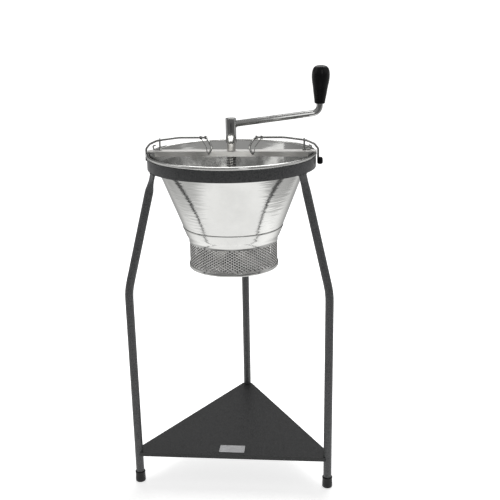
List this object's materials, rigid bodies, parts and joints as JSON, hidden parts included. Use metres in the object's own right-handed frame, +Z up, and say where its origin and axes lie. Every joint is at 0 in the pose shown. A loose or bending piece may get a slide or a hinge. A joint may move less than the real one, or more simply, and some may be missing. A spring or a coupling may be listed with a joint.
{
  "type": "hand-cranked rotary food mill on a tripod stand",
  "caption": "Hand-cranked food mill: steel hopper with a perforated sieve drum, sprung rotor, crossbar and crank, on a painted tripod stand with a shelf.",
  "frame": {"origin": "middle of the object's footprint, on the surface the feet stand on; the mill's own axis is 39.75 mm towards -Y", "axes": "+Z up along the mill's axis, +X along the crossbar towards the end with the knob, -Y to the open front between the two front legs"},
  "size_m": [0.49, 0.4824, 1.0029],
  "materials": {
    "painted_steel": "dark grey hammered stove enamel",
    "black_rubber": "moulded black rubber",
    "polished_steel": "worn, bright tinned sheet steel",
    "bright_steel": "bright rod and turned steel",
    "spring_steel": "dark drawn wire",
    "black_plastic": "smooth black plastic",
    "plate_metal": "satin, blank"
  },
  "bodies": {
    "stand": {"support_ring": "painted_steel", "leg_front_left": "painted_steel", "leg_front_right": "painted_steel", "leg_back": "painted_steel", "foot_cap_front_left": "black_rubber", "foot_cap_front_right": "black_rubber", "foot_cap_back": "black_rubber", "shelf": "painted_steel", "name_plate": "plate_metal"},
    "hopper": {"hopper_cone": "polished_steel"},
    "sieve": {"sieve_collar": "polished_steel", "sieve_drum": "polished_steel", "sieve_floor": "polished_steel", "pivot_stud": "polished_steel"},
    "bar": {"crossbar": "polished_steel", "bar_bush": "bright_steel", "bar_tab": "polished_steel", "wire_post_left": "bright_steel", "wire_post_right": "bright_steel", "pressure_spring": "spring_steel"},
    "clamp_left": {"clamp_wire_left": "bright_steel", "clamp_knob_left": "black_plastic"},
    "clamp_right": {"clamp_wire_right": "bright_steel", "clamp_knob_right": "black_plastic"},
    "spring_seat": {"spring_seat": "polished_steel"},
    "rotor": {"shaft": "polished_steel", "rotor_hub": "polished_steel", "rotor_blade_1": "polished_steel", "rotor_blade_2": "polished_steel", "rotor_blade_3": "polished_steel", "shaft_collar": "polished_steel", "crank_hub": "bright_steel", "hub_pin": "spring_steel", "crank_arm": "bright_steel", "grip_washer": "bright_steel"},
    "grip": {"grip": "black_plastic"}
  },
  "joints": [
    {"name": "head_lift", "type": "slide", "parent": "stand", "child": "hopper", "axis": [0, 0, 1], "range_m": [0, 0.3]},
    {"name": "sieve_drop", "type": "slide", "parent": "hopper", "child": "sieve", "axis": [0, 0, -1], "range_m": [0, 0.1]},
    {"name": "bar_lift", "type": "slide", "parent": "hopper", "child": "bar", "axis": [0, 0, 1], "range_m": [0, 0.3]},
    {"name": "clamp_left_swing", "type": "hinge", "parent": "bar", "child": "clamp_left", "pos_m": [-0.052, -0.05875, 0.8045], "axis": [0, 1, 0], "range_deg": [0, 15]},
    {"name": "clamp_right_swing", "type": "hinge", "parent": "bar", "child": "clamp_right", "pos_m": [0.052, -0.05875, 0.8045], "axis": [0, -1, 0], "range_deg": [0, 15]},
    {"name": "rotor_float", "type": "slide", "parent": "bar", "child": "spring_seat", "axis": [0, 0, 1], "range_m": [0, 0.006], "deforming": ["pressure_spring"]},
    {"name": "crank_turn", "type": "hinge", "parent": "spring_seat", "child": "rotor", "pos_m": [0, -0.03975, 0.8715], "axis": [0, 0, 1], "continuous": true},
    {"name": "grip_turn", "type": "hinge", "parent": "rotor", "child": "grip", "pos_m": [0.2073, -0.0032, 0.915], "axis": [0.0344, 0.0061, 0.9994], "continuous": true}
  ]
}
